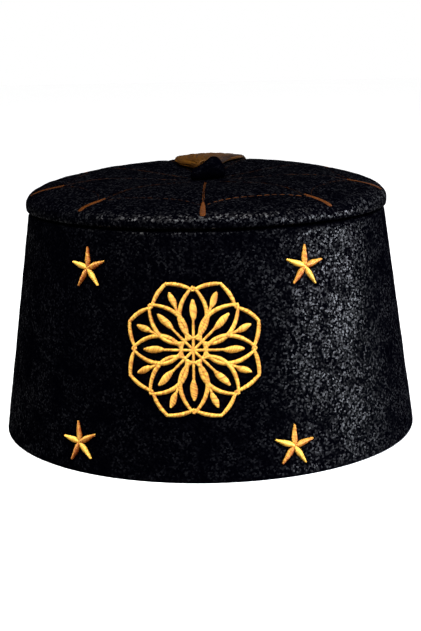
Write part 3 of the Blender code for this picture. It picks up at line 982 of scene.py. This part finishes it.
# %% Embroider the roundel
SECTORS = 8
STROKES = (
    # start, first handle, second handle, end (mm, degrees), widths at start, middle, end (mm), mirrored
    ((4.6, 0), (9.0, 40), (18.5, 28), (25.0, 0), (1.0, 1.7, 0.8), True),
    ((23.4, 0), (25.6, 7), (27.2, 15), (28.2, 23.2), (0.8, 1.6, 1.0), True),
    ((4.9, 0), (8.0, 0), (10.0, 0), (12.6, 0), (1.0, 0.9, 0.8), False),
    ((11.8, 0), (14.0, 0), (17.0, 0), (20.0, 0), (0.9, 3.0, 0.5), False),
    ((14.0, 22.5), (15.5, 22.5), (17.0, 22.5), (19.0, 22.5), (1.0, 1.0, 1.0), False),
    ((18.4, 22.5), (20.0, 22.5), (22.0, 22.5), (24.6, 22.5), (0.9, 2.7, 0.5), False),
    ((4.9, 22.5), (6.0, 22.5), (7.2, 22.5), (8.8, 22.5), (0.9, 1.8, 0.5), False),
    ((0.0, 0), (1.6, 0), (3.2, 0), (4.9, 0), (1.0, 1.0, 1.0), False),
)
RING_RADIUS, RING_WIDTH = 4.9, 1.3  # mm
ROUNDEL_PITCH = 0.39 * MM
ROUNDEL_CREST = 0.62 * MM
ROUNDEL_LEAN = 0.45
ROUNDEL_POINTS = 6
CROSSING_STEP = 0.08 * MM  # how much higher a mirrored stroke lies where it crosses its twin
WIDE_STROKE = 3.0  # mm, a stroke as wide as this has the full crest, and a thin one less
CURVE_POINTS = 60


def polar(radius, angle):
    """A place in the roundel's plane in mm, with angle 0 straight up."""
    return Vector((radius * math.sin(angle), radius * math.cos(angle), 0.0))


def across_stroke(places, widths, chance):
    """Ends and crests of the stitches across a stroke, its width read between three values."""
    line = np.array([(place.x, place.y) for place in places]) * MM
    run = run_along(line)
    stops = np.arange(ROUNDEL_PITCH / 2, run[-1], ROUNDEL_PITCH)
    middle = np.stack([np.interp(stops, run, line[:, k]) for k in (0, 1)], -1)
    way = unit(np.stack([np.interp(stops, run, np.gradient(line[:, k], run)) for k in (0, 1)], -1))
    side = np.stack([-way[:, 1], way[:, 0]], -1)
    t = stops / run[-1]
    start, centre, end = widths
    bend = 2 * centre - (start + end) / 2
    half = (start * (1 - t) ** 2 + 2 * bend * t * (1 - t) + end * t**2) / 2 * MM
    ends = []
    for reach_out in (1, -1):
        wide = (half + chance.uniform(-1, 1, len(stops)) * RAGGED_EDGE)[:, None]
        ends.append(middle + reach_out * wide * (side + ROUNDEL_LEAN * way))
    return *ends, ROUNDEL_CREST * (0.75 + 0.25 * half / (WIDE_STROKE / 2 * MM))


def roundel_threads(chance):
    """First and last ends and crests of all the roundel's stitches, in the wall's plane."""
    parts = []
    for sector in range(SECTORS):
        axis = math.tau * sector / SECTORS
        for start, pull_out, pull_in, end, widths, mirrored in STROKES:
            for side in (1, -1) if mirrored else (1,):
                corners = [
                    polar(radius, axis + side * math.radians(angle))
                    for radius, angle in (start, pull_out, pull_in, end)
                ]
                places = interpolate_bezier(*corners, CURVE_POINTS)
                first, last, crest = across_stroke(places, widths, chance)
                parts.append((first, last, crest + (CROSSING_STEP if side < 0 else 0.0)))
    ring = [polar(RING_RADIUS, math.tau * step / CURVE_POINTS) for step in range(CURVE_POINTS + 1)]
    parts.append(across_stroke(ring, (RING_WIDTH, RING_WIDTH, RING_WIDTH), chance))
    return [np.concatenate(values) for values in zip(*parts)]


chance = np.random.default_rng(31)
first, last, crest = roundel_threads(chance)
lines, ups = stitches(wall_place(0.0, ROUNDEL_HEIGHT), first, last, crest, STITCH_DIP, ROUNDEL_POINTS)
radii = thinned(len(lines), ROUNDEL_POINTS, STITCH_RADIUS * 1.05, 0.7)
# Random tones, with the painted highlight on each stitch's end that lies up and left, towards the lamp.
shades = painted_flank_shades(first, last, chance.uniform(0.25, 0.95, len(lines)), ROUNDEL_POINTS)
threads("stitched_roundel", lines, ups, radii, shades, FINE_SIDES, gold_rayon, "gold_thread", "roundel")
print("the roundel has", len(lines), "stitches")

# %% [markdown]
# The quilting of the top
#
# The lines that were sunk into the top now get their yarn. Along a line the thread comes
# up, lies on the velvet for a few millimetres and goes down again, so what shows is a row
# of short arches. Where a spoke nears the seam it is worked over with a wide satin bar,
# which keeps the gathered layers flat. Along the front spoke, and along the scalloped line
# between it and the next spoke to the right, the stitches are paler and fuller; the other
# running stitches are thin and dark.

# %% Plan the stitches of the quilting
RUN_PITCH = 3.4 * MM
RUN_LENGTH = 2.9 * MM
RUN_CREST, RUN_DIP = 0.15 * MM, 0.25 * MM
RUN_POINTS = 8
ROW_OFFSET = 0.26 * MM  # of each of a spoke's two rows, from the spoke's middle
ROW_WOBBLE = 0.12 * MM
BAR_RUNS = np.array((64.0, 70.0, 77.0, 80.0)) * MM
BAR_HALVES = np.array((0.5, 1.2, 1.6, 1.1)) * MM
BAR_CREST, BAR_DIP = 0.35 * MM, 0.3 * MM
BAR_LEAN = 0.3


def spoke_place(azimuth):
    """Lays x across and y along a spoke on the top."""
    return lambda x, y, out: on_top(azimuth + x / np.maximum(y, MM), y, out - VALLEY_DEPTH)


def running_spoke(azimuth, chance):
    """Two rows of running stitches side by side, from the stem out to the bar."""
    starts = np.arange(SPOKE_START, BAR_RUNS[0] + 2 * MM, RUN_PITCH)
    rows = []
    for side in (-1, 1):
        wobble = chance.uniform(-1, 1, (2, len(starts))) * ROW_WOBBLE
        x = side * ROW_OFFSET + wobble
        y = starts + (side + 1) / 2 * RUN_PITCH / 2
        rows.append((np.stack([x[0], y], -1), np.stack([x[1], y + RUN_LENGTH], -1)))
    first, last = (np.concatenate(ends) for ends in zip(*rows))
    return stitches(spoke_place(azimuth), first, last, RUN_CREST, RUN_DIP, RUN_POINTS)


def turned_place(azimuth, run, out):
    """Lays an angle and a run from the middle on the top, down in the stitching's valley."""
    return on_top(azimuth, run, out - VALLEY_DEPTH)


def running_scallop():
    """Running stitches along the swinging line, all the way round."""
    turn = np.linspace(-math.pi, math.pi, 2000)
    run = scallop_run(turn)
    length = run_along(on_top(turn, run, 0.0))
    starts = np.arange(0.0, length[-1] - RUN_LENGTH, RUN_PITCH)
    first, last = (
        np.stack([np.interp(stops, length, turn), np.interp(stops, length, run)], -1)
        for stops in (starts, starts + RUN_LENGTH)
    )
    return stitches(turned_place, first, last, RUN_CREST, RUN_DIP, RUN_POINTS)


def satin_bar(azimuth, chance):
    """The stitches across the outer end of a spoke."""
    runs = np.arange(BAR_RUNS[0], BAR_RUNS[-1], STITCH_PITCH)
    half = np.interp(runs, BAR_RUNS, BAR_HALVES)
    ends = []
    for side in (1, -1):
        wide = half + chance.uniform(-1, 1, len(runs)) * RAGGED_EDGE
        ends.append(np.stack([side * wide, runs + side * BAR_LEAN * wide], -1))
    return stitches(spoke_place(azimuth), *ends, BAR_CREST, BAR_DIP, RUN_POINTS)


print("the scalloped line has", len(running_scallop()[0]), "stitches")

# %% Sew the quilting
RUN_RADIUS = 0.15 * MM
SPOKE_YARN, SCALLOP_YARN, BAR_YARN = ((shade, RUN_RADIUS) for shade in (0.45, 0.50, 0.65))
FAINT_YARN = (0.03, 0.09 * MM)  # the running stitches away from the front field: thinner and darker
FRONT_SPOKE = 4
FRONT_FIELD = SPOKES[FRONT_SPOKE], SPOKES[FRONT_SPOKE + 1]

chance = np.random.default_rng(47)
rows = [running_scallop()]
yarns = []
for start in rows[0][0][:, 0]:
    # only inside the front field does the scalloped line get the paler, fuller yarn
    clear = FRONT_FIELD[0] < math.atan2(start[0], -start[1]) < FRONT_FIELD[1]
    yarns.append(SCALLOP_YARN if clear else FAINT_YARN)
for index, azimuth in enumerate(SPOKES):
    rows.append(running_spoke(azimuth, chance))
    yarns += [SPOKE_YARN if index == FRONT_SPOKE else FAINT_YARN] * len(rows[-1][0])
    rows.append(satin_bar(azimuth, chance))
    yarns += [BAR_YARN] * len(rows[-1][0])
lines, ups = (np.concatenate(values) for values in zip(*rows))
shades, sizes = np.array(yarns).T
radii = thinned(len(lines), RUN_POINTS, 1.0, 0.55) * sizes[:, None]
shades = shades + chance.uniform(-0.25, 0.25, len(lines))
shades = np.repeat(shades[:, None], RUN_POINTS, axis=1)
threads("quilting_stitches", lines, ups, radii, shades, FULL_SIDES, brown_cotton, "gold_thread")
print("the quilting has", len(lines), "stitches")

# %% [markdown]
# The tassel
#
# A skein of gold silk is bound behind the stem, spreads over the back of the top and
# hangs down the wall. It could be a hair system, but hair has no mesh to hand on, so a
# few hundred strands are laid as threads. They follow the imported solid: its width, its
# lift off the velvet and the seven locks into which the silk falls. Strands at random
# depths fill the body, and a share of them lies on its face.

# %% Describe how the tassel lies
TASSEL_ROWS = (
    # run, offset to the right, half width, lift, depth (all in mm), depth between two locks (a share)
    (7.5, -0.6, 2.6, 2.6, 4.4, 0.80),
    (14.0, -1.2, 4.2, 1.2, 5.0, 0.84),
    (22.0, -2.2, 5.8, 0.5, 4.6, 0.86),
    (30.0, -4.2, 10.2, 0.4, 3.6, 0.88),
    (38.0, -4.0, 13.0, 0.4, 3.0, 0.88),
    (48.0, -1.4, 16.0, 0.4, 2.5, 0.88),
    (60.0, -0.9, 16.0, 0.4, 2.4, 0.88),
    (72.0, -0.4, 16.0, 0.4, 3.0, 0.80),
    (95.0, 0.0, 15.4, 0.4, 4.6, 0.68),
    (126.0, 0.0, 13.8, 0.4, 4.8, 0.66),
)
LOCKS = 7
SIDE_THINNING = 0.5  # how much thinner the skein is at its sides
DRAPE_PROBE = 2.0 * MM  # how far ahead and behind the drape's slope is read


def tassel_at(run):
    """The skein's offset, half width, lift, depth and share between two locks at a run."""
    stops, *values = np.array(TASSEL_ROWS).T
    lengths = [np.interp(run, stops * MM, value * MM) for value in values[:4]]
    return *lengths, np.interp(run, stops * MM, values[4])


def drape_line():
    """Run, radius and height down the cap's back, straight past the seam."""
    inside = TOP_RADIUS[: np.argmax(TOP_RADIUS) + 1]
    height = on_top(math.pi, TOP_RUN[: len(inside)], 0.0)[:, 2]
    widest = inside[-1]
    touch = SEAM_HEIGHT * (RIM_RADIUS - widest) / (RIM_RADIUS - NECK_RADIUS)
    radius = np.concatenate([inside, [widest, RIM_RADIUS]])
    height = np.concatenate([height, [touch, 0.0]])
    return run_along(np.stack([radius, height], -1)), radius, height


DRAPE_RUN, DRAPE_RADIUS, DRAPE_HEIGHT = drape_line()


def on_drape(across, run, out):
    """Points at a run down the back, a distance across and a distance out."""
    ahead, behind = (
        np.stack([np.interp(run + step, DRAPE_RUN, values) for values in (DRAPE_RADIUS, DRAPE_HEIGHT)], -1)
        for step in (DRAPE_PROBE, -DRAPE_PROBE)
    )
    way = unit(ahead - behind)
    radius = np.interp(run, DRAPE_RUN, DRAPE_RADIUS) - out * way[..., 1]
    level = np.interp(run, DRAPE_RUN, DRAPE_HEIGHT) + out * way[..., 0]
    return np.stack([across, np.sqrt(radius**2 - across**2), level], -1)


print("the drape is", round(DRAPE_RUN[-1] / MM, 1), "mm long")

# %% Lay the tassel's strands
TASSEL_START, TASSEL_END = TASSEL_ROWS[0][0] * MM, TASSEL_ROWS[-1][0] * MM
STRANDS = 420
STRAND_POINTS = 40
STRAND_RADIUS = 0.26 * MM
ON_FACE = 0.6  # share of the strands that lie on the skein's face
RAGGED = 4.0 * MM  # how far the locks' ends differ
LOCK_ROUND = 2.2  # the higher, the squarer a lock
END_TURN, END_PHASE = 1.9, 0.6  # how the locks' ends go in and out from one to the next
WAVE = 0.4 * MM  # how far a strand strays from side to side
WAVE_LENGTHS = (22, 55)  # mm


def tassel_lines(home, chance):
    """The strands' lines, from the place that each has across the skein, -1 to 1."""
    lock, place = np.divmod((home + 1) / 2 * LOCKS, 1)
    layer = np.where(chance.random(STRANDS) < ON_FACE, 1.0, chance.uniform(0.1, 0.9, STRANDS))
    end = TASSEL_END + RAGGED * np.sin(END_TURN * lock + END_PHASE) + chance.uniform(-2, 1, STRANDS) * MM
    run = TASSEL_START + (end[:, None] - TASSEL_START) * np.linspace(0, 1, STRAND_POINTS)
    offset, half, lift, depth, valley = tassel_at(run)
    crest = valley + (1 - valley) * (1 - np.abs(2 * place - 1) ** LOCK_ROUND)[:, None]
    crest *= 1 - SIDE_THINNING * home[:, None] ** 2
    wave = chance.uniform(*WAVE_LENGTHS, (STRANDS, 1)) * MM
    phase = chance.uniform(0, math.tau, (STRANDS, 1))
    across = offset + home[:, None] * half + WAVE * np.sin(math.tau * run / wave + phase)
    fill = (depth * crest - 2 * STRAND_RADIUS) * layer[:, None]
    out = lift + STRAND_RADIUS + fill - chance.uniform(0, 0.25, (STRANDS, 1)) * MM
    lines = on_drape(across, run, out)
    return lines, unit(on_drape(across, run, out + MM) - lines)


chance = np.random.default_rng(59)
home = chance.uniform(-0.97, 0.97, STRANDS)
lines, ups = tassel_lines(home, chance)
radii = thinned(STRANDS, STRAND_POINTS, STRAND_RADIUS, 0.5)
# Strands towards the right of the skein are darker: painted shade on the side away from the light.
shades = chance.uniform(0.15, 1.0, STRANDS) - 0.5 * np.clip(home, 0, 1)
shades = np.repeat(shades[:, None], STRAND_POINTS, axis=1)
threads("silk_strands", lines, ups, radii, shades, FINE_SIDES, tassel_silk, "gold_silk", "tassel")

# %% Bind the tassel's neck
WRAPS = 7
WRAP_POINTS = 25
WRAP_TURNS = 1.03  # a little more than one, so that the ends hide each other
WRAP_PITCH = 0.5 * MM
WRAP_RADIUS = 0.3 * MM
WRAP_OUT = 0.2 * MM  # how far a turn's middle lies off the skein


def wrap_lines():
    """Turns of yarn round the tassel's neck."""
    turn = np.linspace(0, math.tau * WRAP_TURNS, WRAP_POINTS)
    run = (TASSEL_START + np.arange(WRAPS) * WRAP_PITCH)[:, None] + 0 * turn
    offset, half, lift, depth, _ = tassel_at(run)
    across = offset + (half + WRAP_OUT) * np.sin(turn)
    out = lift + depth / 2 + (depth / 2 + WRAP_OUT) * np.cos(turn)
    middle = on_drape(offset, run, lift + depth / 2)
    lines = on_drape(across, run, out)
    return lines, unit(lines - middle)


lines, ups = wrap_lines()
radii = np.full(lines.shape[:2], WRAP_RADIUS)
shades = np.repeat(np.linspace(0.4, 0.8, WRAPS)[:, None], WRAP_POINTS, axis=1)
threads("silk_wrapping", lines, ups, radii, shades, FULL_SIDES, tassel_silk, "gold_silk")

# %% [markdown]
# Floor, light and surroundings
#
# Black velvet and a white floor are hard to show together: light enough for the floor
# would wash over the velvet. In a studio one would stand the cap on white and flag the
# light off it. Here the floor and the surroundings are white where the camera sees them
# and grey for the light that they send on, by the Light Path node. Soft light from above
# and in front lights the shoulder of the top, a lamp from the upper left the gold, and a
# strong one far to the right gives the velvet its glow. A weak one behind lets the top's
# far side show against the white. These two and the lamp in front are a little cool.

# %% Set the stage
WHITE = (1.0, 1.0, 1.0, 1.0)
SENT_STRENGTH = 0.03  # of the light that the surroundings send on
SENT_GREY, SEEN_WHITE = (0.10, 0.10, 0.10, 1.0), (0.93, 0.93, 0.93, 1.0)
FLOOR_HALF = 6.0  # m


def make_surroundings():
    """White where the camera sees them, and dim for everything else."""
    world = bpy.data.worlds.new("surroundings")
    bpy.context.scene.world = world
    world.use_nodes = True
    tree = world.node_tree
    tree.nodes.clear()
    seen = node(tree, "ShaderNodeBackground", {"Color": WHITE, "Strength": 1.0})
    sent = node(tree, "ShaderNodeBackground", {"Color": WHITE, "Strength": SENT_STRENGTH})
    path = node(tree, "ShaderNodeLightPath").outputs["Is Camera Ray"]
    both = node(tree, "ShaderNodeMixShader", {0: path, 1: sent.outputs[0], 2: seen.outputs[0]})
    node(tree, "ShaderNodeOutputWorld", {"Surface": both.outputs[0]})


def make_floor():
    """A level square under the cap, pale where the camera sees it."""
    mesh = bpy.data.meshes.new("floor")
    corners = [(x * FLOOR_HALF, y * FLOOR_HALF, 0.0) for x, y in ((-1, -1), (1, -1), (1, 1), (-1, 1))]
    mesh.from_pydata(corners, [], [(0, 1, 2, 3)])
    floor = bpy.data.objects.new("floor", mesh)
    bpy.context.collection.objects.link(floor)
    made, tree, inputs = new_material("pale_floor", DULL)
    path = node(tree, "ShaderNodeLightPath").outputs["Is Camera Ray"]
    feed(tree, inputs, {"Base Color": mixed(tree, path, SENT_GREY, SEEN_WHITE)})
    mesh.materials.append(made)


make_surroundings()
make_floor()
print("the floor is", 2 * FLOOR_HALF, "m wide")

# %% Hang the lamps
COOL = (0.86, 0.90, 1.0)  # daylight


def lamp(name, kind, energy, place, target=(0.0, 0.0, 0.06), **settings):
    """A lamp at a place, which looks at a target."""
    made = bpy.data.objects.new(name, bpy.data.lights.new(name, kind))
    bpy.context.collection.objects.link(made)
    made.data.energy = energy
    for key, value in settings.items():
        setattr(made.data, key, value)
    made.location = place
    made.rotation_mode = "QUATERNION"
    made.rotation_quaternion = (Vector(target) - Vector(place)).to_track_quat("-Z", "Y")
    made.visible_camera = False
    return made


def around(azimuth, elevation, distance):
    """A place seen from the cap's middle in this direction. Azimuth 0 is the front, and 90 the right."""
    turn, lift = math.radians(azimuth), math.radians(elevation)
    level = distance * math.cos(lift)
    return (level * math.sin(turn), -level * math.cos(turn), distance * math.sin(lift))


lamp("sky", "SUN", 3.3, around(30, 80, 2.0), angle=math.radians(50))
lamp("front_left", "AREA", 10.0, around(-40, 48, 1.0), size=0.4)
lamp("front_high", "AREA", 9.0, around(20, 46, 1.0), size=0.5, color=COOL)
lamp("back_right", "AREA", 1.0, around(140, 24, 1.0), size=0.5, color=COOL)
lamp("right", "AREA", 29.0, around(76, 5, 1.0), shape="RECTANGLE", size=0.85, size_y=0.26, color=COOL)
bpy.context.scene.view_settings.view_transform = "Standard"
print("lamps", [item.name for item in bpy.data.lights])
